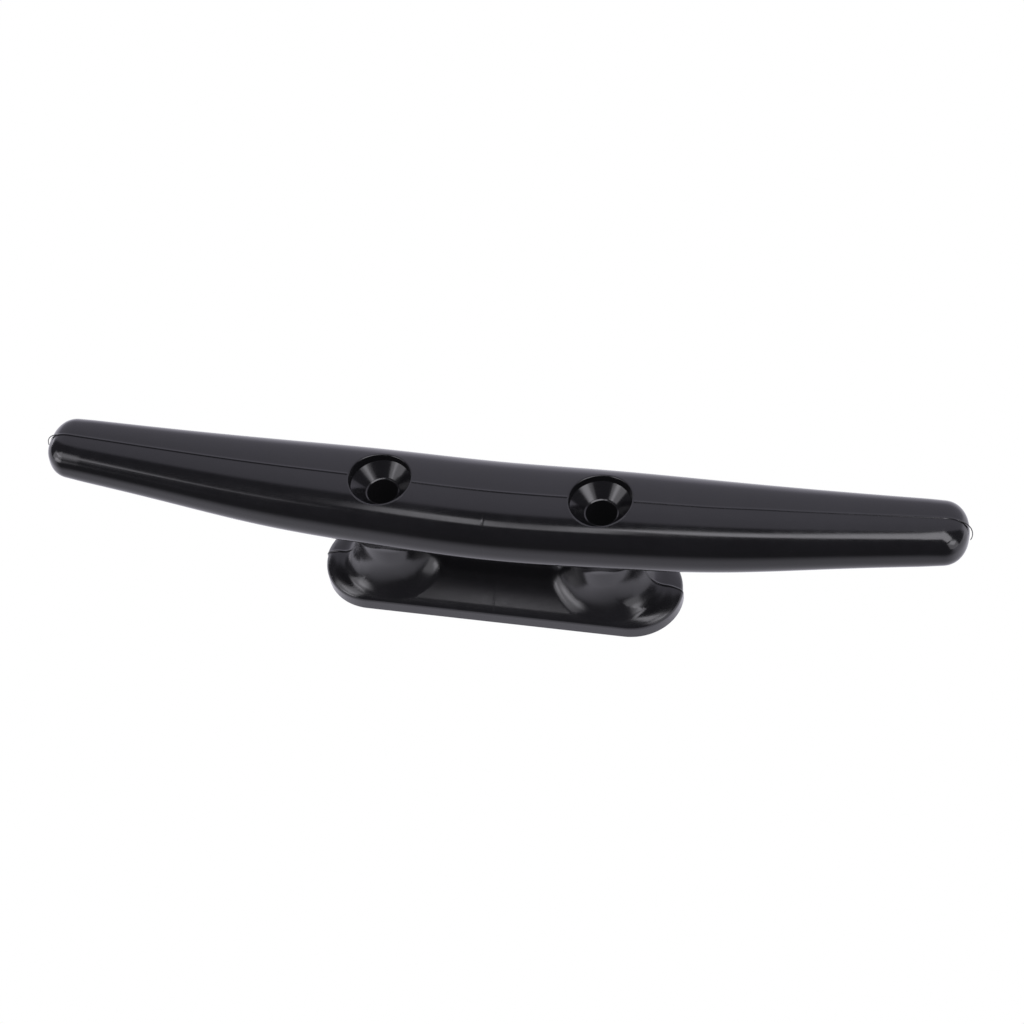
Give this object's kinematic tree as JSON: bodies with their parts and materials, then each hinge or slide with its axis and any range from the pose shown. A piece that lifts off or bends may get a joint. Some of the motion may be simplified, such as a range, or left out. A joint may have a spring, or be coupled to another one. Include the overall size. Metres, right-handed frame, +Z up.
{
  "type": "horn cleat",
  "caption": "Moulded horn cleat: a tapering round-ended cross bar on round legs over an oval base, with countersunk through-holes down the legs for fixing it to a deck or dock.",
  "frame": {"origin": "centre of the base's flat underside, midway between the two fixing holes", "axes": "+X along the horn bar, +Y across it, +Z up out of the deck; the part is mirror-symmetric about the X=0 and Y=0 planes"},
  "size_m": [0.2, 0.0232, 0.0383],
  "materials": {
    "body": "black moulded nylon, satin-gloss as it leaves the mould"
  },
  "bodies": {
    "root": {"cleat_body": "body"}
  },
  "joints": []
}
